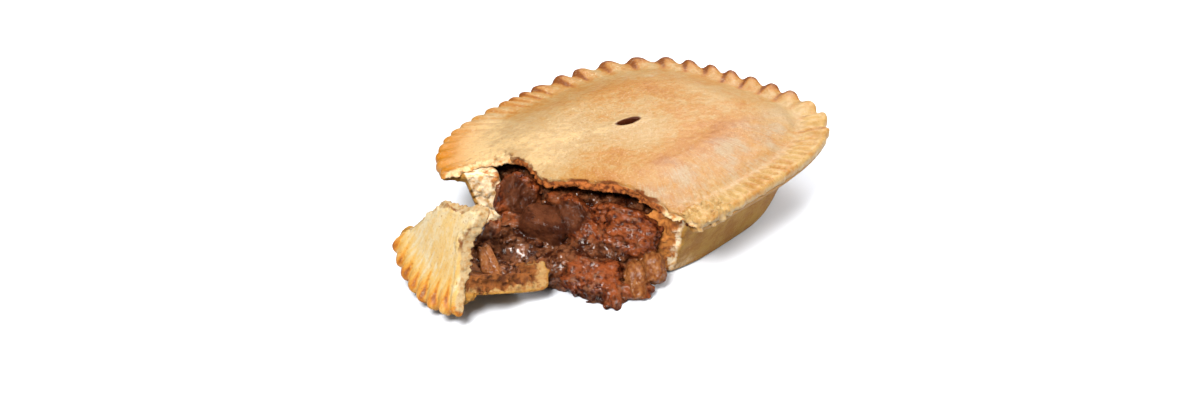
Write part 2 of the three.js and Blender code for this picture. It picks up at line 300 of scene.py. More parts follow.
# %% Curves through corners, and distance to an outline
LID_BREAK = [
    (-63, 32), (-55, 28.5), (-50, 27.7), (-46.5, 26.8), (-43, 24.5), (-41, 19), (-41, 14), (-42, 8.4),
    (-44.5, 3), (-45.4, -1), (-42, -7.7), (-39.3, -13.5), (-37, -18.5), (-34.8, -23), (-33.5, -28),
    (-32.8, -35), (-32.5, -41), (-32.5, -47), (-33.5, -56)]
CASE_BREAK = [
    (-62, 35.5), (-56, 30), (-47.5, 19.5), (-46, 10), (-44, 0), (-42, -12), (-35, -25),
    (-28.5, -37), (-33, -46), (-35, -55)]
END_LID_EDGE = [
    (-66, 26), (-57, 24.5), (-51, 22), (-45, 17), (-40, 11), (-36, 5), (-34, -3), (-32, -11),
    (-42, -9), (-50, -12), (-56, -15), (-60, -18)]
END_CASE_EDGE = [
    (-66, 26), (-57, 25), (-50, 22), (-45, 12), (-43, 0), (-40, -9), (-39, -13), (-42.5, -17),
    (-46.5, -18.5), (-52.5, -16), (-58, -12.5)]
PAST_RIM = 30
SEED_STEP = 17.3
CURVE_PARTS = 6
FAR_LEFT = -110.0


def curve_through(corners):
    """Catmull-Rom curve through the corners."""
    points = np.array([corners[0], *corners, corners[-1]], float)
    share = np.linspace(0, 1, CURVE_PARTS, endpoint=False)[:, None]
    pieces = []
    for before, start, end, after in zip(points, points[1:], points[2:], points[3:]):
        pieces.append(0.5 * (2 * start + (end - before) * share
                             + (2 * before - 5 * start + 4 * end - after) * share ** 2
                             + (3 * start - before - 3 * end + after) * share ** 3))
    return np.concatenate([*pieces, points[-1:]])


def closed_past_rim(corners, reach):
    """The outline of everything on the broken side of a curve."""
    line = curve_through(corners)
    top = line[0] + (-reach / 2, reach / 2)
    bottom = line[-1] + (-reach / 2, -reach)
    return np.array([*line, bottom, (FAR_LEFT, bottom[1]), (FAR_LEFT, top[1]), top])


def outline_distance(x, y, outline):
    """Signed distance to a closed outline seen from above, negative inside."""
    x, y = np.broadcast_arrays(np.asarray(x, float), np.asarray(y, float))
    nearest = np.full(x.shape, np.inf)
    inside = np.zeros(x.shape, bool)
    for (ax, ay), (bx, by) in zip(outline, np.roll(outline, -1, axis=0)):
        ex, ey = bx - ax, by - ay
        share = np.clip(((x - ax) * ex + (y - ay) * ey) / max(ex * ex + ey * ey, 1e-9), 0, 1)
        nearest = np.minimum(nearest, (x - ax - share * ex) ** 2 + (y - ay - share * ey) ** 2)
        if ay != by:
            inside ^= ((ay > y) != (by > y)) & (x < ex * (y - ay) / ey + ax)
    return np.where(inside, -1, 1) * np.sqrt(nearest)


def torn(x, y, z, seed_shift):
    """Bumps that turn a clean cut into torn, flaky pastry."""
    shift = seed_shift * SEED_STEP
    wander = 0.7 * crumb_bumps(x + shift, y, z, 4.5)
    flakes = 0.4 * flake_bumps(x, y + shift, z, (2.4, 2.4, 0.9))
    crumbs = 0.5 * crumb_bumps(x, y, z + shift, 1.5)
    return wander + flakes + crumbs


lid_open = closed_past_rim(LID_BREAK, PAST_RIM)
case_open = closed_past_rim(CASE_BREAK, PAST_RIM)
end_lid_outline = np.array([*curve_through(END_LID_EDGE), (FAR_LEFT, -18), (FAR_LEFT, 26)])
end_case_outline = np.array([*curve_through(END_CASE_EDGE), (FAR_LEFT, -14), (FAR_LEFT, 26)])
print("points on the lid's break:", len(lid_open))

# %% [markdown]
# ## The lid as a field
# The lid is a sheet of pastry between an upper face that dips behind the crimps and swells to a plateau, and
# an underside that follows it. It could be a subdivided sheet with a thickness, but as a field the crimps,
# the finger dents and the lip of the vent are each one more line.

# %% Field of the whole lid
CASE_HEIGHT = 23.4
LID_THICKNESS = 3.7
LID_RIM_TOP = 26.2
LID_TOP = 31.3
PLATEAU_INSET = 27.0
PLATEAU_RISE = 0.7
VENT_AT = (-0.9, 3.0)
VENT_HALF = (4.1, 1.7)
VENT_TURN = math.radians(-12)
RING_RADIUS = 64


def lid_top(inset):
    moat = 0.2 * np.exp(-(((inset - 10) / 3) ** 2))
    dome = smooth_step(inset, 8, 30)
    rise = smooth_step(inset, PLATEAU_INSET, PIE_WIDTH / 2)
    return LID_RIM_TOP - moat + (LID_TOP - PLATEAU_RISE - LID_RIM_TOP) * dome + PLATEAU_RISE * rise


def vent_distance(x, y):
    along = (x - VENT_AT[0]) * math.cos(VENT_TURN) + (y - VENT_AT[1]) * math.sin(VENT_TURN)
    across = (y - VENT_AT[1]) * math.cos(VENT_TURN) - (x - VENT_AT[0]) * math.sin(VENT_TURN)
    return (np.hypot(along / VENT_HALF[0], across / VENT_HALF[1]) - 1) * VENT_HALF[1]


def lid_field(x, y, z, power):
    """The whole lid: its field, and the measures that its finish needs."""
    inset = inset_at(x, y, power)
    around = round_rim(x, y, power)
    crimp, crease = crimp_at(around, inset)
    crimp = crimp * (1 - smooth_step(inset, 1, CRIMP_REACH))
    swell = 0.45 * broad_bumps(x, y, 3, 26) + 0.16 * broad_bumps(x, y, 9, 9) + 0.05 * small_bumps(x, y, 1, 3)
    vent = vent_distance(x, y)
    lip = 0.3 * np.exp(-((vent - 0.6) / 1.1) ** 2)
    dents = dents_at(around, inset)
    groove = 0.7 * smooth_step(0.5 * x - y, 15, 40) * np.exp(-(((inset - 9.5) / 2.6) ** 2))
    top = lid_top(inset) + swell * smooth_step(inset, 1, 8) + lip + CRIMP_UP * crimp - 0.9 * dents - groove
    under = np.maximum(lid_top(inset) - LID_THICKNESS, CASE_HEIGHT - 0.1)
    edge = -(inset + CRIMP_OUT * crimp - 0.4 + 0.25 * small_bumps(x, y, z, 2.2))
    field = smooth_max(smooth_max(z - top, edge, 1.8), under - z, 0.2)
    ring = around * (2 * np.pi / RIM_ROUND)
    return {
        "field": field, "inset": inset, "crimp": crimp - 0.35 * dents, "crease": crease, "vent": vent,
        "ring_x": RING_RADIUS * np.cos(ring), "ring_y": RING_RADIUS * np.sin(ring),
        "below_top": top - z, "above_under": z - under,
    }


print("lid top at the rim and in the middle:", [round(float(lid_top(np.array(i))), 1) for i in (0.0, 50.0)])

# %% [markdown]
# ## The case as a field
# The case is the pastry under the lid: a base, a sloping wall and a flange that carries the lid's rim. Its
# cross section is one outline, which could be swept round the plan as a mesh. As a field it can also grow
# thicker beside the mouth, where dough was gathered, and be torn at a slant.

# %% Field of the whole case
PASTRY = 3.8
BASE_INSET = 14.0
FLANGE = 7.5
FLANGE_THICKNESS = 2.9
PAST_MIDDLE = 90
TORN_SLANT = 1.0
case_profile = np.array([
    (BASE_INSET + 0.8, 0), (BASE_INSET, 0.8), (FLANGE, CASE_HEIGHT - FLANGE_THICKNESS),
    (1.6, CASE_HEIGHT - 2.1), (0.6, CASE_HEIGHT - 0.8), (0.6, CASE_HEIGHT),
    (FLANGE + PASTRY - 0.8, CASE_HEIGHT), (FLANGE + PASTRY, CASE_HEIGHT - 0.8),
    (BASE_INSET + PASTRY - 0.8, PASTRY + 1.6), (BASE_INSET + PASTRY + 0.8, PASTRY),
    (PAST_MIDDLE, PASTRY), (PAST_MIDDLE, 0)])


def wall_inset(z):
    """How far in from the rim the outside of the wall lies at a height."""
    return BASE_INSET + (FLANGE - BASE_INSET) * z / (CASE_HEIGHT - FLANGE_THICKNESS)


def thicker_at_mouth(x, y):
    """Extra thickness of the walls beside the mouth, where dough was gathered."""
    behind = outline_distance(x, y, case_open)
    return 4.5 * (1 - smooth_step(behind, 4, 14)) * smooth_step(np.abs(y), 10, 22)


def case_field(x, y, z, power, extra):
    """The whole case, with extra thickness inside its wall: its field and the measures for its finish."""
    corner = smooth_step(x, 10, 40) * smooth_step(-y, 8, 30) * (1 - z / CASE_HEIGHT)
    inset = inset_at(x, y, power) - 2.2 * corner
    wavy = 0.3 * broad_bumps(x, y, z, 12) + 0.1 * small_bumps(x, y, z, 3)
    inward = inset - wall_inset(z)
    thinned = np.where(inward > 0, inward * PASTRY / (PASTRY + extra), inward) + wavy * smooth_step(z, 0.3, 3)
    raised = np.clip(lid_top(inset) - LID_THICKNESS - CASE_HEIGHT + 0.2, 0, extra)
    lift = raised * smooth_step(z, 12, CASE_HEIGHT)
    field = outline_distance(wall_inset(z) + thinned, z - lift, case_profile)
    from_outside = np.minimum(np.clip(inward, -1, PASTRY + 3), z)
    return {"field": field, "inset": inset, "from_outside": from_outside}


def slant_of_tear(case, y):
    """Tears the right wall further back on its outside, so that its crumb faces the viewer."""
    right = smooth_step(-y, 0, 10)
    return TORN_SLANT * right * (PASTRY / 2 - np.clip(case["from_outside"], 0, PASTRY))


print("inset of the wall at the base and the flange:", [round(wall_inset(z), 1) for z in (0.0, 20.5)])

# %% [markdown]
# ## Drawing the skin of a field
# Metaballs draw the skin of a field too, but only of simple blobs. A field sampled on a box of points becomes
# a mesh with OpenVDB, which ships with Blender. Tearing leaves loose scraps in the air, so only the largest
# closed skin is kept.

# %% Sample boxes and their skins
FAR = 9.0


class SampleBox:
    """Points a step apart in a box, in millimetres, as three arrays that broadcast together."""

    def __init__(self, low, high, step):
        self.low = np.array(low, float)
        self.step = step
        sides = [np.arange(a, b + step, step, dtype=np.float32) for a, b in zip(low, high)]
        self.x = sides[0][:, None, None]
        self.y = sides[1][None, :, None]
        self.z = sides[2][None, None, :]

    def skin(self, field):
        grid = openvdb.FloatGrid(FAR)
        grid.copyFromArray(np.ascontiguousarray(field, dtype=np.float32))
        points, quads = grid.convertToQuads(0.0)
        return points.astype(float) * self.step + self.low, quads.astype(np.int64)


def largest_shell(points, faces):
    """Drops the loose scraps that tearing leaves in the air."""
    label = np.arange(len(points))
    while True:
        lowest = label[faces].min(axis=1)
        new = label.copy()
        np.minimum.at(new, faces.ravel(), np.repeat(lowest, faces.shape[1]))
        new = new[new]
        if (new == label).all():
            break
        label = new
    names, counts = np.unique(label, return_counts=True)
    kept = label == names[counts.argmax()]
    order = np.cumsum(kept) - 1
    return points[kept], order[faces[kept[faces[:, 0]]]]


def skin_of(piece_at, low, high, step):
    """The largest closed skin of a piece, sampled a step apart in a box."""
    sample_box = SampleBox(low, high, step)
    piece = piece_at(sample_box.x, sample_box.y, sample_box.z)
    return largest_shell(*sample_box.skin(piece["field"]))


def test_ball(x, y, z):
    return {"field": np.sqrt(x ** 2 + y ** 2 + z ** 2) - 5}


ball_points, _ = skin_of(test_ball, (-6, -6, -6), (6, 6, 6), 0.5)
print("a ball of radius 5 is drawn with radius", np.linalg.norm(ball_points, axis=1).mean().round(2))

# %% [markdown]
# ## Crumbs and scraps
# Torn pastry is covered with crumbs, and gravy holds scraps of meat. Thousands of small spheres could be
# placed as objects, but in a field they are only a distance to the nearest of many jittered points, so they
# blend into the skin that they stick to.

# %% Scraps on a skin
SCRAP_TABLE = 32


def bits_field(x, y, z, spacing, seed):
    """Small scraps, one in each cell of a grid, each at its own place and of its own size."""
    cells = [np.floor(np.asarray(side) / spacing).astype(np.int32) for side in (x, y, z)]
    shape = (4, SCRAP_TABLE, SCRAP_TABLE, SCRAP_TABLE)
    random = np.random.default_rng(seed).uniform(0, 1, shape).astype(np.float32)
    nearest = FAR
    for step in np.ndindex(3, 3, 3):
        index = [cell + part - 1 for cell, part in zip(cells, step)]
        picked = random[(slice(None), *(number & (SCRAP_TABLE - 1) for number in index))]
        total = sum((side - (number + place) * spacing) ** 2
                    for side, number, place in zip((x, y, z), index, picked))
        nearest = np.minimum(nearest, np.sqrt(total) - spacing * (0.2 + 0.35 * picked[3]))
    return nearest


def with_bits(field, x, y, z, spacing, seed, rise, where=True):
    """A field with scraps stuck to its skin, standing up to a rise above it."""
    near = (np.abs(field) < 3) & where
    bits = np.full(field.shape, FAR, np.float32)
    bits[near] = bits_field(*(np.broadcast_to(side, field.shape)[near] for side in (x, y, z)), spacing, seed)
    return smooth_min(field, smooth_max(bits, field - rise, 0.5 * rise), 0.5 * rise)


print("nearest scrap to the middle:", round(float(bits_field(0.0, 0.0, 0.0, 3.0, 55)), 2), "mm")

# %% [markdown]
# ## The broken-off end
# The end tipped over its own rim, so that it lies on its wall with the lid leaning toward the viewer. It
# could be modelled as it lies, but its crimps and layers are easier to describe upright, so it is built that
# way and then turned and laid down. Here only its skin is drawn, because the filling needs to know where it
# lies.

# %% Broken-off end, built upright and laid down
END_TILT = math.radians(53)
END_TURN = math.radians(-14.5)
END_AT = (-65.3, 1.0)
END_HINGE = (-(PIE_LENGTH / 2 - BASE_INSET), 0, 0)
END_STEP = 0.5
END_EXTRA = 1.4
CRUMB_SPACING = 1.9
END_LID_BOX = ((-68, -26, 22), (-28, 32, 34))
END_CASE_BOX = ((-67, -28, -1.63), (-34, 32, 25))
end_rotation = np.array(Matrix.Rotation(END_TURN, 3, "Z") @ Matrix.Rotation(-END_TILT, 3, "Y"))


def crumble(piece, opening, x, y, z, seed, rise):
    """Sticks crumbs to a break and marks the skin that it tore."""
    piece["open"] = with_bits(opening, x, y, z, CRUMB_SPACING, seed, rise, piece["field"] < 2)
    piece["torn"] = smooth_step(piece["open"], -0.9, -0.15)


def end_lid(x, y, z):
    """The lid of the broken-off end, upright, with its torn edge slanting under."""
    lid = lid_field(x, y, z, END_POWER)
    ragged = torn(x, y, z, 3) + 1.2 * broad_bumps(x, y, z, 7)
    opening = outline_distance(x, y, end_lid_outline) + ragged - 0.8 * (
        np.clip(lid["below_top"], 0, LID_THICKNESS) - LID_THICKNESS / 2)
    crumble(lid, opening, x, y, z, 64, 0.8)
    lid["crumbly"] = np.ones(lid["torn"].shape)
    lid["scorch"] = smooth_step(x, -47, -42)
    lid["field"] = np.maximum(lid["field"], lid["open"])
    return lid


def end_case(x, y, z):
    """The case of the broken-off end, upright, with its torn edge slanting in."""
    case = case_field(x, y, z, END_POWER, END_EXTRA)
    ragged = torn(x, y, z, 4) + 1.2 * broad_bumps(x, y, z + 40, 8)
    opening = outline_distance(x, y, end_case_outline) + ragged + 0.8 * (
        np.clip(case["from_outside"], 0, PASTRY) - PASTRY / 2)
    crumble(case, opening, x, y, z, 65, 0.9)
    case["stain"] = 1.8 - 1.8 * smooth_step(-x, 42, 54)
    case["field"] = np.maximum(case["field"], case["open"])
    return case


def lay_down(points, rise=0.0):
    """Turns upright points over the end's rim and puts them where the end lies."""
    return (points - END_HINGE) @ end_rotation.T + (*END_AT, rise)


end_lid_points, end_lid_faces = skin_of(end_lid, *END_LID_BOX, END_STEP)
end_case_points, end_case_faces = skin_of(end_case, *END_CASE_BOX, END_STEP)
END_RISE = -min(lay_down(end_lid_points)[:, 2].min(), lay_down(end_case_points)[:, 2].min())
print("hinge line of the end at z", round(END_RISE, 2), "mm")

# %% [markdown]
# ## The filling
# Braised steak and kidney sit in thick gravy. Each lump of meat is a rounded block with its own long axis,
# and the gravy is a few soft mounds. They could be separate meshes, but gravy clings to meat, and blending
# their fields gives the fillets where it does. Steak gets coarse fibre along its length, and kidney stays
# smooth.

# %% Lumps of meat and mounds of gravy
FACING = np.array((-0.714, -0.419, 0.561))
# Each mound has a middle and half sizes, in millimetres.
MOUNDS = [
    ((-36, -14, 0), (16, 22, 16)),
    ((-43, 8, 0), (10, 12, 14)),
    ((-49, -26, -2), (8, 10, 7)),
    ((-59, 4, 0), (7, 9, 11)),
    ((-61, 9.5, 4), (6, 6, 9)),
    ((-57.5, 2, 5), (5, 6, 8)),
    ((-56, -7, 2), (6, 7, 6.5)),
    ((-52, -2, 5), (6, 8, 6)),
    ((-48, -18, 6.5), (6, 6, 6)),
    ((-53.5, -13.5, 3.5), (5.5, 6, 6)),
]
STEAK = "steak"
KIDNEY = "kidney"
STRIP = "strip"
# Each lump has a middle, a long axis, half sizes, its kind of meat and the slope of its roof.
LUMPS = [
    ((-47.2, 9.6, 18.6), (0.65, -0.1, 0.75), (7.2, 6.8, 6.2), STEAK, 0.5),
    ((-49.5, -3.9, 14.6), (0.42, -0.9, -0.14), (7.6, 6.2, 5.4), KIDNEY, 0.75),
    ((-42.8, -12.8, 15.8), (-0.04, -0.78, -0.63), (9.4, 5.2, 5.4), STEAK, 0.3),
    ((-34.7, -26.7, 14), (0.37, -0.91, -0.21), (9.2, 7.8, 7.4), STEAK, 0.2),
    ((-51, -25, 5), (0.47, -0.88, -0.07), (9.2, 5.5, 5.5), STEAK, 0.2),
    ((-52.5, -33, 2.4), (-0.5, -0.45, -0.5), (5, 2.5, 2.4), STEAK, 0),
    ((-55.3, -19.5, 3.5), (0.15, -0.87, -0.3), (3.9, 2.9, 3.5), STEAK, 0),
    ((-43.9, -36, 5), (-0.38, -0.44, -0.81), (5.7, 2.9, 3.5), STRIP, 0.3),
    ((-37.8, -37.9, 7), (-0.33, -0.5, -0.8), (4.5, 3.4, 4), STRIP, 0),
    ((-43.5, -39.5, 2.5), (0.37, -0.91, -0.21), (2.6, 2.1, 2.5), STEAK, 0),
    ((-47.6, -35.2, 2), (0.37, -0.91, -0.21), (2.9, 2.1, 2.2), STEAK, 0),
    ((-54.5, 5.8, 15.2), (0.55, -0.83, 0.07), (3.2, 2.2, 3), STEAK, 0),
    ((-60, 9, 11), (-0.4, -0.3, -0.8), (4.5, 3.6, 3.6), STEAK, 0),
    ((-77.2, -4.1, 14.3), (-0.46, -0.67, -0.59), (5.1, 1.5, 1.7), STRIP, 0),
    ((-75.6, -5.9, 13.5), (-0.33, -0.7, -0.64), (5.3, 1.6, 1.8), STRIP, 0),
    ((-42, -2.6, 20), (0.46, -0.88, -0.07), (3.5, 2, 3), STEAK, 0),
    ((-37, -20, 19.5), (0.46, -0.88, 0.1), (6, 2.6, 3), STEAK, 0),
]
SINEW = [(-45.2, -8.8, 23), (-43.4, -12.6, 23.2), (-44, -16.2, 20), (-43.4, -19.8, 17.6)]
FILLING_DROP = 2.2
BIT_SPACING = 3.0
GRAIN_REACH = 4.0
GRAIN_SHIFT = 31
PATTERN_SHIFT = 40


def along_axis(offset, axis):
    return offset[0] * axis[0] + offset[1] * axis[1] + offset[2] * axis[2]


def lump_field(x, y, z, at, along, half_sizes, roof):
    """A rounded block with a roof-like ridge, longest along its own axis and facing out of the mouth."""
    first = np.array(along, float) / np.linalg.norm(along)
    second = np.cross(FACING, first)
    second /= np.linalg.norm(second)
    third = np.cross(first, second)
    offset = (x - at[0], y - at[1], z - at[2])
    local = [along_axis(offset, axis) for axis in (first, second, third)]
    total = sum(np.abs(side / half_size) ** 3 for side, half_size in zip(local, half_sizes))
    block = (total ** (1 / 3) - 1) * min(half_sizes)
    ridge = (local[2] + roof * np.abs(local[1]) - half_sizes[2]) / math.hypot(1, roof)
    return smooth_max(block, ridge, 1.0), local


def cord_field(x, y, z, path, radius):
    """A thin round strand along a path."""
    nearest = 1e9
    for start, end in zip(path, path[1:]):
        side = np.subtract(end, start)
        offset = (x - start[0], y - start[1], z - start[2])
        share = np.clip(along_axis(offset, side) / (side @ side), 0, 1)
        nearest = np.minimum(nearest, sum((part - share * length) ** 2 for part, length in zip(offset, side)))
    return np.sqrt(nearest) - radius


def mound_field(x, y, z, at, half_sizes):
    """A soft mound, rounder than a lump."""
    total = sum(((value - middle) / half_size) ** 2
                for value, middle, half_size in zip((x, y, z), at, half_sizes))
    return (np.sqrt(total) - 1) * min(half_sizes)


print("lumps of meat:", len(LUMPS), "and mounds of gravy:", len(MOUNDS))

# %% [markdown]
# ## Filling left in the pie
# Behind the spill the standing pie is still full, and some gravy stays in the broken-off end. Both could be
# modelled as blocks, but the pastry round them is known, so the filling is what lies inside the wall and
# under the lid. At the mouth it sinks a little, and in the end it is hollowed where the rest was pulled out.

# %% What stays inside the two parts of the pie
WALL_GAP = 0.3


def kept_inside(x, y, z):
    """The filling still inside the standing pie."""
    inset = inset_at(x, y, PIE_POWER)
    wall = wall_inset(z) + PASTRY + WALL_GAP + thicker_at_mouth(x, y)
    behind_break = outline_distance(x, y, lid_open)
    drop = FILLING_DROP + 2.6 * (1 - smooth_step(behind_break, 2, 14))
    under = np.maximum(lid_top(inset) - LID_THICKNESS, CASE_HEIGHT) - drop
    sides = np.maximum(np.maximum(wall - inset, z - under), PASTRY + WALL_GAP - z)
    return np.maximum(sides, 1.5 + 3 * smooth_step(y, 4, 18) - behind_break)


def end_inside(x, y, z):
    """The filling in the broken-off end, worked out where the end stands upright."""
    offset = np.broadcast_arrays(x - END_AT[0], y - END_AT[1], z - END_RISE)
    upright = np.stack(offset, axis=-1) @ end_rotation + END_HINGE
    ux, uy, uz = np.moveaxis(upright, -1, 0)
    inset = inset_at(ux, uy, END_POWER)
    wall = wall_inset(uz) + PASTRY + WALL_GAP + END_EXTRA
    under = np.maximum(lid_top(inset) - LID_THICKNESS, CASE_HEIGHT) - 0.2
    sides = np.maximum(np.maximum(wall - inset, uz - under), PASTRY + WALL_GAP - uz)
    tip = smooth_step(ux, -52, -44) * smooth_step(-uy, 2, 10)
    hollow = 1 + 10 * smooth_step(uz, 4, 22) + 4 * tip * (1 - smooth_step(uz, 4, 10))
    return np.maximum(sides, outline_distance(ux, uy, end_case_outline) + hollow)


middle_of_pie = (np.array([0.0]), np.array([0.0]), np.array([12.0]))
middle_depth = -float(kept_inside(*middle_of_pie)[0])
print("the middle of the pie lies", round(middle_depth, 1), "mm deep in the filling")

# %% [markdown]
# ## Meat and gravy together
# Where gravy runs over meat the two have no clear border. A plain union would leave a sharp crease there, so
# the fields are joined with a soft minimum, which leaves a rounded fillet. The distance to each kind of meat
# is kept, so that the finish can tell them apart.

# %% The whole filling as one field
def fibre_on(lump, local, kind, number):
    """Relief of one lump: coarse fibre along a piece of steak, soft swellings on kidney."""
    near = np.abs(lump) < GRAIN_REACH
    lengthwise, sideways, outward = (np.broadcast_to(side, lump.shape)[near] for side in local)
    shift = GRAIN_SHIFT * number
    fibre = np.zeros(lump.shape, np.float32)
    if kind == KIDNEY:
        fibre[near] = 0.45 * broad_bumps(lengthwise + shift, sideways, outward, 6)
    else:
        fibre[near] = (0.9 * crumb_bumps(lengthwise + shift, sideways, outward, (5, 2.6, 2.6))
                       + 0.65 * small_bumps(lengthwise, sideways + shift, outward, (2.2, 1.1, 1.1)))
    return fibre


def filling_field(x, y, z, with_grain=False):
    """The whole filling, the meats in it and, where asked, the run of the meat's grain."""
    gravy = smooth_min(kept_inside(x, y, z), end_inside(x, y, z), 3.0)
    for at, half_sizes in MOUNDS:
        gravy = smooth_min(gravy, mound_field(x, y, z, at, half_sizes), 4.0)
    gravy = gravy - 0.4 * broad_bumps(x, y, z, 4.5) - 0.2 * small_bumps(x, y, z, 1.8)
    gravy = with_bits(gravy, x, y, z, BIT_SPACING, 55, 1.2)
    whole = gravy
    steak = np.full(whole.shape, FAR, np.float32)
    kidney = np.full(whole.shape, FAR, np.float32)
    strip = np.full(whole.shape, FAR, np.float32)
    grain = [np.broadcast_to(side, whole.shape) for side in (x, y, z)]
    for number, (at, along, half_sizes, kind, roof) in enumerate(LUMPS):
        lump, local = lump_field(x, y, z, at, along, half_sizes, roof)
        fibre = fibre_on(lump, local, kind, number)
        lump = lump - fibre
        if with_grain:
            closest = lump < np.minimum(steak, kidney)
            grain = [np.where(closest, side + PATTERN_SHIFT * number, old) for side, old in zip(local, grain)]
        if kind == STRIP:
            lump = lump + 0.5 * fibre
            strip = np.minimum(strip, lump)
        if kind == KIDNEY:
            kidney = np.minimum(kidney, lump)
        else:
            steak = np.minimum(steak, lump)
        whole = smooth_min(whole, lump, 0.8)
    whole = smooth_min(whole, cord_field(x, y, z, SINEW, 0.45), 0.3)
    return {"field": np.maximum(whole, -z), "gravy": gravy, "steak": steak, "kidney": kidney,
            "strip": strip, "grain": grain}


kidney_middle = np.array([LUMPS[1][0]])
kidney_depth = -float(filling_field(*kidney_middle.T)["kidney"][0])
print("the middle of the kidney is", round(kidney_depth, 1), "mm deep in it")

# %% [markdown]
# ## Skin of the filling
# Only the spill at the mouth is seen, and there every scrap counts, while the part deep in the pie is hidden.
# One fine box for all of it would be too heavy. So the spill gets a fine box and the hidden core a coarse
# one, and their two closed skins meet inside the pie. Each vertex also gets the measures of the place where
# it lies, stored as mesh attributes, so that the finish can tell meat from gravy.

# %% Spilled filling in fine detail, and the hidden core behind it
SPILL_STEP = 0.43
CORE_STEP = 1.2
CORE_FROM = -20.0
SPILL_BOX = ((-84, -50, -1), (CORE_FROM, 34, 27))
CORE_BOX = ((CORE_FROM - 3, -46, 2), (52, 46, 28))


def mesh_piece(name, points, faces, measures, node):
    """A mesh object in metres with smooth shading and one float attribute for each measure."""
    mesh = bpy.data.meshes.new(name)
    mesh.vertices.add(len(points))
    mesh.vertices.foreach_set("co", (points * MM).astype(np.float32).ravel())
    mesh.loops.add(faces.size)
    mesh.loops.foreach_set("vertex_index", faces.astype(np.int32).ravel())
    mesh.polygons.add(len(faces))
    mesh.polygons.foreach_set("loop_start", np.arange(0, faces.size, faces.shape[1], dtype=np.int32))
    mesh.update(calc_edges=True)
    mesh.validate()
    mesh.shade_smooth()
    for label, values in measures.items():
        layer = mesh.attributes.new(label, "FLOAT", "POINT")
        layer.data.foreach_set("value", np.asarray(values, np.float32))
    piece = bpy.data.objects.new(name, mesh)
    bpy.context.scene.collection.objects.link(piece)
    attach(piece, "root")
    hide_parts(node)
    print(name, "has", len(faces) * 2, "triangles")
    return piece


box = SampleBox(*SPILL_BOX, SPILL_STEP)
spill = filling_field(box.x, box.y, box.z)["field"]
points, faces = largest_shell(*box.skin(np.maximum(spill, box.x - CORE_FROM + 1)))
box = SampleBox(*CORE_BOX, CORE_STEP)
core_points, core_faces = box.skin(np.maximum(kept_inside(box.x, box.y, box.z), CORE_FROM - 1 - box.x))
faces = np.concatenate([faces, core_faces + len(points)])
points = np.concatenate([points, core_points])
inside = filling_field(*points.T, with_grain=True)
filling_piece = mesh_piece("meat_and_gravy", points, faces, {
    "steak": smooth_step(inside["gravy"] - inside["steak"], -0.3, 1.2),
    "kidney": smooth_step(inside["gravy"] - inside["kidney"], -0.3, 1.0),
    "strip": 1 - smooth_step(inside["strip"], 0.1, 0.6),
    "in_end": smooth_step(-points[:, 0], 60, 68),
    "along": inside["grain"][0],
    "across": inside["grain"][1],
    "outward": inside["grain"][2],
}, "filling")

# %% [markdown]
# ## Where gravy soaks the pastry
# Pastry that touches the filling goes brown and soft. That could be painted by hand, but the field of the
# filling is at hand, so each point of the crust can ask how far away the gravy is.

# %% Soaking
MEASURE_NAMES = (
    "inset", "ring_x", "ring_y", "crimp", "crease", "below_top", "above_under", "torn", "vent",
    "from_outside", "bake", "haze", "amber", "crumbly", "scorch", "stain")


def soak_at(points, reach):
    """1 on the gravy, 0 at a reach in millimetres away from it."""
    return 1 - smooth_step(filling_field(*points.T)["field"], 0.1, reach)


def stored(measures, points, reach):
    """The measures that the finishes use, by name."""
    kept = {name: measures[name] for name in MEASURE_NAMES if name in measures}
    kept["soak"] = soak_at(points, reach)
    return kept


soak_test = np.array([LUMPS[1][0], (40.0, 0, 30)])
print("soak at the kidney and far away:", soak_at(soak_test, 3.0))

# %% [markdown]
# ## The standing lid
# The lid is one sheet of shortcrust, torn away at one end. The tear shows three layers: a thin baked skin,
# crumb, and an underside soaked brown by gravy. Three meshes could show them, but they are one sheet, so the
# measures stored here let one finish paint all three. They also say how far each part was baked, with painted
# light on the back and right slopes and painted sheen on the front slope.

# %% Standing lid
LID_STEP = 0.55
LID_BOX = ((-67, -56, 22), (68, 56, 34))
# Each patch has a place, a width, a depth and how much more it was baked.
BAKE_PATCHES = [
    (-2, 1, 26, 15, -0.3), (-17, 15, 12, 8, -0.12), (28, 14, 10, 10, 0.14), (2, -24, 30, 6, 0.16),
    (46, -26, 12, 9, -0.24), (-24, -46, 24, 6, -0.16), (-4, 14, 8, 6, 0.08)]


def standing_lid(x, y, z):
    """The lid with its tear and its vent, and crumbs on the front corner by the mouth."""
    lid = lid_field(x, y, z, PIE_POWER)
    lid["crumbly"] = smooth_step(y, 13, 22) + smooth_step(-y, 34, 40)
    lid["scorch"] = 1 - np.clip(lid["crumbly"], 0, 1)
    corner = smooth_step(-y, 39, 44) * (1 - smooth_step(x, -24, -12))
    lid["field"] = with_bits(lid["field"], x, y, z, CRUMB_SPACING, 63, 0.05 + 1.0 * corner, corner > 0.02)
    slant = smooth_step(y, 16, 24) * (np.clip(lid["below_top"], 0, LID_THICKNESS) - LID_THICKNESS / 2)
    opening = -outline_distance(x, y, lid_open) + torn(x, y, z, 1) * (1 + 0.5 * lid["crumbly"]) - slant
    crumble(lid, opening, x, y, z, 61, 0.6 + lid["crumbly"])
    field = smooth_max(lid["field"], lid["open"], 0.5)
    lid["field"] = smooth_max(field, -(lid["vent"] + 0.25 * crumb_bumps(x, y, z, 1.2)), 0.4)
    return lid


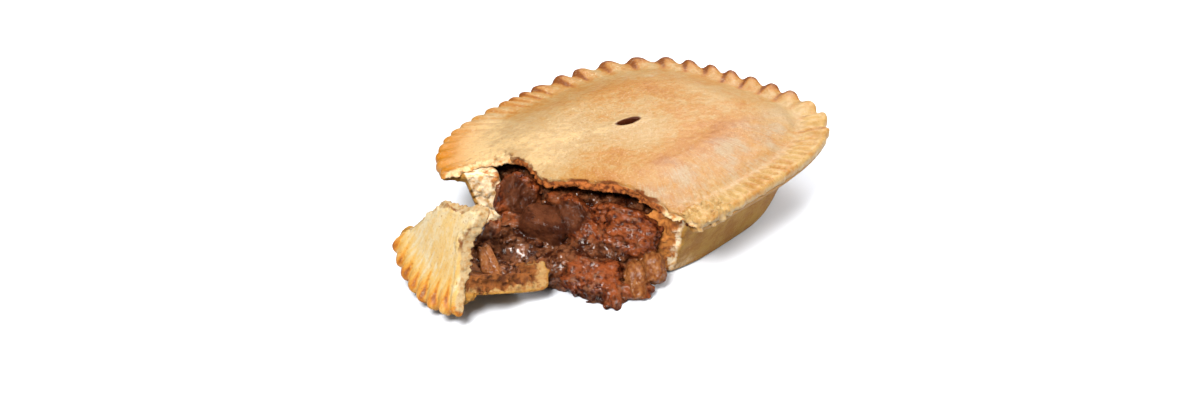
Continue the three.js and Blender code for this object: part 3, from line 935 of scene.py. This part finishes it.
def lid_painted_light_and_bake(x, y, inset):
    """How far each part of the lid was baked, pale in the middle and golden behind, plus painted light on the
    back and right slopes and painted sheen in front.
    """
    patches = sum(amount * np.exp(-(((x - at_x) / wide) ** 2 + ((y - at_y) / deep) ** 2))
                  for at_x, at_y, wide, deep, amount in BAKE_PATCHES)
    pale_left = smooth_step(-x, -6, 54) * smooth_step(y, -20, 14)
    # Painted sheen: the front slope is made a little paler.
    painted_sheen_front = smooth_step(-y, 25, 36)
    # Painted light: the back and right slopes, turned away from the lamps, are made paler.
    painted_light_behind = smooth_step(np.maximum(x - 10, y), 12, 32)
    edge = 1 - smooth_step(inset, 0, 7)
    brown_edge = edge * (0.14 * smooth_step(y + 0.7 * x, -25, 20) + 0.2 * smooth_step(x, 30, 55))
    brown_lip = 0.5 * smooth_step(x + y, 25, 60) * (1 - smooth_step(inset, 0.5, 3.5))
    return 0.64 + patches - 0.6 * pale_left - 0.04 * painted_sheen_front - 0.18 * painted_light_behind + brown_edge + brown_lip


def lid_wash_and_sheen(y, inset):
    """Where dried egg glaze and painted sheen leave a pale film: the slope in front."""
    return smooth_step(-y, 18, 32) * smooth_step(inset, 5, 12) * (1 - smooth_step(inset, 24, 36))


def lid_amber(x, y, inset):
    """Where the egg glaze pooled and baked to amber: the tip of the rim by the mouth and the left edge."""
    return smooth_step(0.4 * y - x, 34, 68) * (1 - smooth_step(inset, 3, 14))


points, faces = skin_of(standing_lid, *LID_BOX, LID_STEP)
lid_measures = standing_lid(*points.T)
# The bake value also carries painted light on the back and right slopes and painted sheen in front.
lid_measures["bake"] = lid_painted_light_and_bake(points[:, 0], points[:, 1], lid_measures["inset"])
lid_measures["haze"] = lid_wash_and_sheen(points[:, 1], lid_measures["inset"])
lid_measures["amber"] = lid_amber(points[:, 0], points[:, 1], lid_measures["inset"])
lid_piece = mesh_piece("lid_crust", points, faces, stored(lid_measures, points, 4.0),
                       "pastry_lid")

# %% [markdown]
# ## The standing case
# Under the lid the case shows its sloping outside wall on the right, and its torn wall on both sides of the
# mouth. It could be a swept mesh with the tear cut out of it, but it takes the same steps as the lid, on a
# slightly coarser box because most of it is plain wall. Its base is pressed flat, as it stands on a table.

# %% Standing case
CASE_STEP = 0.62
CASE_BOX = ((-66, -55, -1.5), (67, 55, 25))


def standing_case(x, y, z):
    """The case with its tear, and how deep the gravy stains its torn wall."""
    case = case_field(x, y, z, PIE_POWER, thicker_at_mouth(x, y))
    opening = -outline_distance(x, y, case_open) + torn(x, y, z, 2) + slant_of_tear(case, y)
    crumble(case, opening, x, y, z, 62, 0.7)
    case["stain"] = 5.6 - 5.2 * smooth_step(-y, 0, 10)
    case["field"] = np.maximum(case["field"], case["open"])
    return case


points, faces = skin_of(standing_case, *CASE_BOX, CASE_STEP)
points[:, 2] = np.maximum(points[:, 2], 0)
case_piece = mesh_piece("case_crust", points, faces, stored(standing_case(*points.T), points, 1.6),
                        "pastry_case")

# %% [markdown]
# ## Crust of the broken-off end
# The end's lid and case were drawn upright above. They could be tipped as objects, but every piece here keeps
# its origin at the frame's, so their points are laid down instead. Their measures come from the upright
# points.

# %% Lid and case of the broken-off end
laid = lay_down(end_lid_points, END_RISE)
end_lid_measures = end_lid(*end_lid_points.T)
end_inset = end_lid_measures["inset"]
end_lid_measures["bake"] = 0.12 + 0.54 * (1 - smooth_step(end_inset, 0, 10))
# A faint pale film on the end's lid, partly painted sheen.
end_lid_measures["haze"] = 0.1 * smooth_step(end_inset, 6, 12)
end_lid_measures["amber"] = 0.3 * (1 - smooth_step(end_inset, 0, 8))
end_lid_piece = mesh_piece("end_lid_crust", laid, end_lid_faces, stored(end_lid_measures, laid, 3.0),
                           "broken_end_lid")
laid = lay_down(end_case_points, END_RISE)
end_case_measures = end_case(*end_case_points.T)
end_case_piece = mesh_piece("end_case_crust", laid, end_case_faces, stored(end_case_measures, laid, 3.5),
                            "broken_end_case")

# %% [markdown]
# ## Writing shader maths as sums
# A finish is a small network of nodes. It can be drawn by hand in the shader editor, but a long one is hard
# to read there and harder to change. So a socket is wrapped in a class, and ordinary sums in Python add its
# Math nodes, also where a number comes first, as in 1 - torn.

# %% Sockets that can be added and multiplied
class Socket:
    """One output of a node. Sums and products with it become Math nodes."""

    def __init__(self, finish, output):
        self.finish = finish
        self.output = output

    def math(self, operation, first, second):
        return self.finish.node("ShaderNodeMath", {"operation": operation}, {0: first, 1: second})

    def __add__(self, other):
        return self.math("ADD", self, other)

    __radd__ = __add__

    def __sub__(self, other):
        return self.math("SUBTRACT", self, other)

    def __rsub__(self, other):
        return self.math("SUBTRACT", other, self)

    def __mul__(self, other):
        return self.math("MULTIPLY", self, other)

    __rmul__ = __mul__


print("sums on a socket:", [name for name in vars(Socket) if name.endswith(("add__", "sub__", "mul__"))])

# %% [markdown]
# ## Other nodes from one method
# Each finish starts from the Principled shader of a new material. Every other node could be added with four
# lines of its own, but one method that takes a node's type, its settings and its sockets keeps a finish to
# about a line for each node. The other methods name the few uses that come back: noise, bands, mixes, bumps.

# %% Finishes and the nodes that feed them
NOISE_ROUGHNESS = 0.55


class Finish:
    """A material with its Principled shader, and the nodes that feed it."""

    def __init__(self, name):
        self.material = bpy.data.materials.new(name)
        self.material.use_nodes = True
        self.tree = self.material.node_tree
        self.shader = self.tree.nodes["Principled BSDF"]

    def node(self, kind, settings=None, sockets=None, output=0):
        made = self.tree.nodes.new(kind)
        for name, value in (settings or {}).items():
            if name == "stops":
                ramp = made.color_ramp
                while len(ramp.elements) < len(value):
                    ramp.elements.new(0.5)
                for element, (place, colour) in zip(ramp.elements, value):
                    element.position = place
                    element.color = (*colour, 1.0)
            else:
                setattr(made, name, value)
        for key, value in (sockets or {}).items():
            self.feed(made.inputs[key], value)
        return Socket(self, made.outputs[output])

    def feed(self, socket, value):
        if isinstance(value, Socket):
            self.tree.links.new(value.output, socket)
        elif socket.type == "RGBA":
            socket.default_value = (*value[:3], 1.0)
        else:
            socket.default_value = value

    def shade(self, **values):
        for name, value in values.items():
            self.feed(self.shader.inputs[name.replace("_", " ")], value)

    def measure(self, name):
        return self.node("ShaderNodeAttribute", {"attribute_name": name}, output="Fac")

    def place(self):
        return self.node("ShaderNodeTexCoord", output="Object")

    def vector(self, first, second, third):
        return self.node("ShaderNodeCombineXYZ", None, {0: first, 1: second, 2: third})

    def grain(self, size, detail, vector=None):
        """Noise from 0 to 1 with features of a size in millimetres."""
        sockets = {"Vector": vector or self.place(), "Scale": 1 / (size * MM), "Detail": detail,
                   "Roughness": NOISE_ROUGHNESS}
        return self.node("ShaderNodeTexNoise", None, sockets)

    def band(self, value, low, high):
        """0 below low, 1 above high, smooth between."""
        return self.node("ShaderNodeMapRange", {"interpolation_type": "SMOOTHSTEP"},
                         {"Value": value, "From Min": low, "From Max": high})

    def mix(self, first, second, share):
        return self.node("ShaderNodeMix", {"data_type": "RGBA"}, {0: share, 6: first, 7: second}, output=2)

    def ramp(self, value, stops):
        return self.node("ShaderNodeValToRGB", {"stops": stops}, {0: value})

    def bump(self, height, depth, before=None):
        """A Bump node for a height from 0 to 1, with its depth in millimetres."""
        sockets = {"Height": height, "Distance": depth * MM}
        if before is not None:
            sockets["Normal"] = before
        return self.node("ShaderNodeBump", None, sockets)


sample = Finish("sample")
unbroken = 1 - sample.measure("torn")
print("1 - torn made a", unbroken.output.node.bl_label, "node set to", unbroken.output.node.operation)
bpy.data.materials.remove(sample.material)

# %% [markdown]
# ## Paint for a colour that is seen
# A baker knows the colours of a crust as they look on the table. A shader wants the colour without its light.
# Paint can be tried out until it looks right, but it is quicker to take the seen colour, turn it into linear
# light and divide it by the level of light at that part of the pie.

# %% Seen colours to paint colours
# Light on top of the lid, on faces turned to the viewer, on meat in the mouth and on the palest crust.
LIGHT = 3.4
SIDE_LIGHT = 1.7
MEAT_LIGHT = 4.15
PALE_LIGHT = 2.75


def tone(red, green, blue, light_there=LIGHT):
    """A colour as it is seen under these lamps, from 0 to 255, turned into a paint colour."""
    parts = np.array((red, green, blue)) / 255
    light = np.where(parts <= 0.04045, parts / 12.92, ((parts + 0.055) / 1.055) ** 2.4)
    return tuple((light / light_there).tolist())


print("golden crust as paint:", np.round(tone(230, 166, 84), 3).tolist())

# %% [markdown]
# ## Baked crust
# A glazed shortcrust lid is cream where it stayed thick and moist and gold where it dried, and the creases of
# its crimps are painted brown as shade. It could be painted as an image, but nodes follow the shape that is
# already there.
# Both lids share one kind of finish, and this cell holds the measures and noises that its parts use.

# %% What the finishes of the two lids share
CRUST_STOPS = [
    (0.0, tone(248, 210, 150, PALE_LIGHT)), (0.2, tone(240, 201, 143)), (0.4, tone(234, 186, 118)),
    (0.55, tone(230, 166, 84)), (0.7, tone(222, 150, 68)), (0.85, tone(206, 128, 52)),
    (1.0, tone(170, 96, 40))]
END_STOPS = [
    (0.0, tone(255, 234, 188, PALE_LIGHT)), (0.2, tone(255, 216, 140, PALE_LIGHT)),
    (0.4, tone(255, 206, 116, PALE_LIGHT)), (0.55, tone(254, 190, 88, PALE_LIGHT)),
    (0.7, tone(244, 168, 66, PALE_LIGHT)), (0.85, tone(220, 132, 46, PALE_LIGHT)),
    (1.0, tone(166, 90, 34, PALE_LIGHT))]
PATCH_SIZE = 24
MOTTLE_SIZE = 7
DAPPLE_SIZE = 2.2
SPECK_SIZE = 0.75
CRUMB_SIZE = 1.5
STREAK_SIZE = 1.8
STREAK_STRETCH = 0.16
HAIR_SIZE = 1.0
HAIR_STRETCH = 0.3
PASTRY_GLOW = (1.0, 0.55, 0.25)


class LidFinish(Finish):
    """A lid's finish, with the measures and noises that several of its parts use."""

    def __init__(self, name, stops, streak_depth, cream, toasted):
        super().__init__(name)
        self.stops = stops
        self.streak_depth = streak_depth
        self.cream = cream
        self.toasted = toasted
        self.inset = self.measure("inset")
        self.torn = self.measure("torn")
        self.haze = self.measure("haze")
        self.depth = self.measure("below_top") + (self.grain(1.1, 2.0) - 0.5) * 0.6
        self.front = self.band(self.measure("ring_y"), -14.0, -34.0)
        self.near_rim = 1 - self.band(self.inset, 10.0, 32.0)
        self.mottle = self.grain(MOTTLE_SIZE, 4.0)
        self.dapple = self.grain(DAPPLE_SIZE, 3.0)
        self.specks = self.grain(SPECK_SIZE, 2.0)
        self.crumbs = self.grain(CRUMB_SIZE, 4.0)
        self.streak = self.grain(STREAK_SIZE, 3.0, self.rim_place(STREAK_STRETCH))

    def rim_place(self, stretch):
        """A place that goes round the rim, drawn out along the way in from it."""
        ring_x = self.measure("ring_x") * MM
        ring_y = self.measure("ring_y") * MM
        return self.vector(ring_x, ring_y, self.inset * (stretch * MM))


lid_finish = LidFinish("lid_painted_light_and_bake", CRUST_STOPS, 0.35,
                       tone(232, 200, 152, SIDE_LIGHT), tone(206, 142, 76, SIDE_LIGHT))
end_lid_finish = LidFinish("end_lid_painted_light_and_bake", END_STOPS, 1.1, tone(246, 214, 160), tone(226, 172, 104))
print("crust finishes:", [m.name for m in bpy.data.materials if m.name.endswith("bake")])

# %% [markdown]
# ## Skin and crumb of the lids
# The browning of the skin is one value, from the bake (with its painted light and sheen), the crimps, the
# painted shade of their creases and noises of several sizes, and a ramp turns it into colour. Over it come
# amber where the egg wash pooled, fine hairs of dried wash with painted sheen on the front slope, and pale
# and dark specks. A torn face shows crumb instead, golden or pale, with a soaked underside.
# Skin and crumb could be two materials with a hard border, but a crust flakes, so noise joins them.

# %% Colours of the skin and of the torn crumb
def baked_skin(crust):
    """Colour of the upper face: browning with painted shade in the crimp folds, amber pools, hairs of dried
    glaze with painted sheen, specks and the pressed edge.
    """
    mottle = crust.mottle
    patches = crust.grain(PATCH_SIZE, 2.0)
    hairs = crust.grain(HAIR_SIZE, 3.0, crust.rim_place(HAIR_STRETCH))
    # The crease term paints shade beside each crimp ridge.
    browning = (crust.measure("bake") + crust.measure("crimp") * 0.2 + crust.measure("crease") * 0.7
                + (patches - 0.5) * 0.7 + (mottle - 0.5) * 0.6 + (crust.dapple - 0.5) * 0.55
                + (crust.streak - 0.5) * crust.near_rim * crust.streak_depth)
    skin = crust.ramp(browning, crust.stops)
    skin = crust.mix(skin, tone(240, 152, 24), crust.measure("amber") * (0.9 + (mottle - 0.5) * 0.8))
    # Pale streaks on the front slope: partly dried egg wash, partly painted sheen.
    wash_sheen_streaks = crust.band(hairs * 0.6 + mottle * 0.4 + patches * 0.3, 0.5, 0.78)
    clouds = 0.55 + crust.band(mottle, 0.4, 0.6) * 0.45
    skin = crust.mix(skin, tone(222, 190, 146), crust.haze * wash_sheen_streaks * clouds)
    front_rim = crust.front * (1 - crust.band(crust.inset, 5.0, 13.0))
    uneven = crust.band(mottle + (hairs - 0.5) * 0.5, 0.35, 0.6)
    skin = crust.mix(skin, tone(250, 208, 134), front_rim * uneven * 0.8)
    skin = crust.mix(skin, tone(252, 232, 188), crust.band(crust.specks, 0.56, 0.78) * 0.55)
    skin = crust.mix(skin, tone(176, 104, 44), crust.band(crust.specks, 0.42, 0.24) * 0.55)
    pressed_edge = crust.front * crust.band(crust.depth, 0.9, 1.8)
    return crust.mix(skin, tone(246, 212, 158), pressed_edge * crust.band(crust.crumbs, 0.3, 0.6) * 0.8)


def torn_crumb(crust):
    """Colour of a torn face: pale or golden crumb over a soaked underside."""
    pale = crust.mix(crust.cream, crust.toasted, crust.band(crust.crumbs, 0.42, 0.68))
    golden = crust.mix(tone(184, 106, 48, SIDE_LIGHT), tone(108, 52, 22, SIDE_LIGHT),
                       crust.band(crust.crumbs, 0.4, 0.68))
    soaked = crust.mix(tone(150, 74, 26), tone(76, 32, 12), crust.band(crust.grain(1.8, 3.0), 0.4, 0.65))
    dry = crust.measure("crumbly") + crust.band(crust.depth, 1.1, 0.7)
    inside = crust.mix(golden, pale, crust.band(dry + (crust.crumbs - 0.5) * 0.8, 0.3, 0.8))
    height = crust.measure("above_under") + (crust.grain(1.4, 2.0) - 0.5) * 1.6
    return crust.mix(soaked, inside, crust.band(height - crust.measure("soak") * 0.4, -0.1, 0.6))


lid_colours = {}
for crust in (lid_finish, end_lid_finish):
    broken = crust.band(crust.depth, 0.6, 1.2) * crust.band(crust.inset, 0.8, 1.8)
    lid_colours[crust] = crust.mix(baked_skin(crust), torn_crumb(crust), broken)
print("nodes for skin and crumb:", [len(crust.tree.nodes) for crust in lid_colours])

# %% [markdown]
# ## The lids put together
# Two things lie over skin and crumb: a scorched line just under the skin of the tear, and the dark mouth of
# the vent. The relief could be more geometry, but it is finer than the mesh, so bumps give it: specks and
# crumb, wrinkles round the rim, and dapples. A thin coat is the baked egg wash.

# %% Finish for the lid and the end's lid
for crust, piece in ((lid_finish, lid_piece), (end_lid_finish, end_lid_piece)):
    line = crust.band(crust.depth, 0.1, 0.3) * (1 - crust.band(crust.depth, 0.9, 1.4))
    scorched = line * crust.torn * crust.measure("scorch") * crust.band(crust.mottle, 0.42, 0.6)
    colour = crust.mix(lid_colours[crust], tone(156, 82, 30), scorched)
    colour = crust.mix(colour, tone(104, 46, 20), 1 - crust.band(crust.measure("vent"), 0.15, 0.7))
    fine = crust.bump(crust.specks + crust.crumbs * crust.torn * 3, 0.16)
    wrinkled = crust.bump(crust.streak * crust.near_rim, 0.12, fine)
    glaze = crust.band(crust.mottle, 0.3, 0.7) * 0.06 + crust.haze * 0.05
    crust.shade(Base_Color=colour, Roughness=0.46 + (crust.dapple - 0.5) * 0.3 + crust.torn * 0.3,
                Coat_Weight=(1 - crust.torn) * glaze, Normal=crust.bump(crust.dapple, 0.35, wrinkled))
    crust.shade(Coat_Roughness=0.34, Specular_IOR_Level=0.15, Subsurface_Weight=0.12,
                Subsurface_Radius=PASTRY_GLOW, Subsurface_Scale=1.2 * MM)
    piece.data.materials.append(crust.material)
    print(crust.material.name, "has", len(crust.tree.nodes), "nodes")

# %% [markdown]
# ## Case crust
# The outside of the case baked against its tin: dry, even and duller than the glazed lid. Torn faces show
# crumb, and gravy stains the wall from the inside. Depth from the outside tells the three apart, and noise on
# that depth keeps their borders ragged, which a cut between three materials would not.

# %% Finish for the case and the end's case
def case_finish(name, cream, toasted, orange, brown):
    crust = Finish(name)
    torn_share = crust.measure("torn")
    mottle = crust.grain(MOTTLE_SIZE, 3.0)
    specks = crust.grain(0.9, 3.0)
    crumb_grain = crust.grain(CRUMB_SIZE, 4.0)
    dusty = crust.band(mottle + (specks - 0.5) * 0.4, 0.35, 0.65)
    skin = crust.mix(tone(210, 142, 54), tone(238, 180, 88), dusty)
    skin = crust.mix(tone(226, 172, 104), skin, crust.band(crust.measure("inset"), 1.5, 4.0))
    crumb = crust.mix(cream, toasted, crust.band(crumb_grain, 0.42, 0.7))
    stained = crust.mix(orange, brown, crust.band(crust.grain(2.4, 3.0), 0.36, 0.7))
    depth = crust.measure("from_outside") + (crust.grain(1.5, 2.0) - 0.5) * 1.2
    soaked = crust.band(depth + (crust.grain(4.5, 3.0) - 0.5) * 4 - crust.measure("stain"), -0.5, 3.0)
    wet = crust.band(crust.measure("soak") + soaked + (crumb_grain - 0.5) * 0.7, 0.3, 0.9)
    colour = crust.mix(skin, crumb, crust.band(depth, 0.4, 1.1))
    colour = crust.mix(colour, stained, wet)
    crust.shade(Base_Color=colour, Roughness=0.62 + (mottle - 0.5) * 0.2 + torn_share * 0.15,
                Normal=crust.bump(mottle, 0.4, crust.bump(specks + crumb_grain * torn_share * 3, 0.2)))
    crust.shade(Specular_IOR_Level=0.12, Subsurface_Weight=0.15, Subsurface_Radius=PASTRY_GLOW,
                Subsurface_Scale=1.5 * MM)
    return crust.material


case_piece.data.materials.append(case_finish(
    "case_wall", tone(248, 224, 186, SIDE_LIGHT), tone(220, 168, 104, SIDE_LIGHT),
    tone(200, 128, 60, SIDE_LIGHT), tone(140, 76, 34, SIDE_LIGHT)))
end_case_piece.data.materials.append(case_finish(
    "end_case_wall", tone(234, 186, 118), tone(200, 128, 60), tone(194, 116, 54), tone(116, 62, 32)))
print("case finishes:", [m.name for m in bpy.data.materials if m.name.endswith("wall")])

# %% [markdown]
# ## Meat and gravy
# The gravy is thick and brown. Steak is lighter and redder, with grain along its length and pale flecks,
# kidney is smooth and dark, and the strips that hang out are the palest. Each could be its own material, but
# they shade into each other, so the shares stored on the mesh mix their colours in one.

# %% Colours of the filling
def juice(red, green, blue):
    """A colour of the filling, which sits deep in the mouth."""
    return tone(red, green, blue, MEAT_LIGHT)


filling = Finish("braised_meat_gravy")
steak = filling.measure("steak")
kidney = filling.measure("kidney")
strip = filling.measure("strip")
run = filling.vector(filling.measure("along") * (0.75 * MM), filling.measure("across") * MM,
                     filling.measure("outward") * MM)
fibre = filling.grain(1.1, 4.0, run)
broad = filling.grain(6, 3.0)
coarse = filling.grain(2.0, 4.0)
fine = filling.grain(0.6, 3.0)
gravy = filling.mix(juice(82, 34, 14), juice(198, 120, 76),
                    filling.band(broad + (coarse - 0.5) * 0.7, 0.36, 0.7))
shred = filling.band(broad * 0.4 + fibre * 0.35 + coarse * 0.35, 0.44, 0.64)
beef = filling.mix(juice(80, 22, 6), juice(204, 104, 52), shred)
beef = filling.mix(beef, juice(232, 160, 114), filling.band(fibre, 0.6, 0.74) * 0.45)
offal = filling.mix(juice(92, 44, 24), juice(150, 86, 54),
                    filling.band(broad + (coarse - 0.5) * 0.3, 0.34, 0.68))
pale_meat = filling.mix(juice(170, 92, 44), juice(224, 144, 80), filling.band(fibre, 0.35, 0.65))
colour = filling.mix(filling.mix(gravy, beef, steak), offal, kidney)
colour = filling.mix(colour, pale_meat, strip)
clinging = filling.band(filling.grain(3.4, 3.0), 0.54, 0.68) * (1 - kidney) * (1 - strip) * 0.6
colour = filling.mix(colour, juice(204, 134, 92), clinging)
# Painted shade: random dark spots stand in for the shaded gaps between lumps.
painted_shade_spots = filling.band(filling.grain(2.6, 3.0), 0.42, 0.28) * 0.7
colour = filling.mix(colour, juice(50, 18, 6), painted_shade_spots * (1 - strip))
# Painted light: the filling in the broken-off end, shaded by its lid, is made lighter.
painted_light_in_end = filling.measure("in_end") * filling.band(coarse, 0.35, 0.65) * 0.5
colour = filling.mix(colour, juice(214, 138, 92), painted_light_in_end)
print("nodes for the colours of the filling:", len(filling.tree.nodes))

# %% [markdown]
# ## Wet film on the filling
# Braised meat is dull where it is bare and bright where a film of juice lies on it. One roughness map could
# say so, but it greys the dull parts. So a dull shader and a wet one are mixed, patch by patch, and pools of
# gravy get a smooth coat as well.

# %% Finish for the filling
moist = filling.band(filling.grain(1.2, 2.0), 0.47, 0.6) * (0.9 - kidney * 0.5 - steak * 0.12)
sauce = (1 - steak) * (1 - kidney) * filling.band(broad, 0.42, 0.56) * 0.36
relief = filling.bump(coarse, 0.4, filling.bump(fibre, 0.3, filling.bump(fine, 0.25)))
filling.shade(Base_Color=colour, Roughness=0.6, Coat_Weight=sauce, Normal=relief)
filling.shade(Coat_Roughness=0.14, Specular_IOR_Level=0.03, Subsurface_Weight=0.08,
              Subsurface_Radius=(1.0, 0.35, 0.15), Subsurface_Scale=1.0 * MM)
film = filling.node("ShaderNodeBsdfPrincipled", None, {
    "Base Color": colour, "Roughness": 0.15, "Specular IOR Level": 0.5, "Normal": relief})
dull = Socket(filling, filling.shader.outputs[0])
both = filling.node("ShaderNodeMixShader", None, {0: moist, 1: dull, 2: film})
filling.feed(filling.tree.nodes["Material Output"].inputs["Surface"], both)
filling_piece.data.materials.append(filling.material)
print(filling.material.name, "has", len(filling.tree.nodes), "nodes")

# %% [markdown]
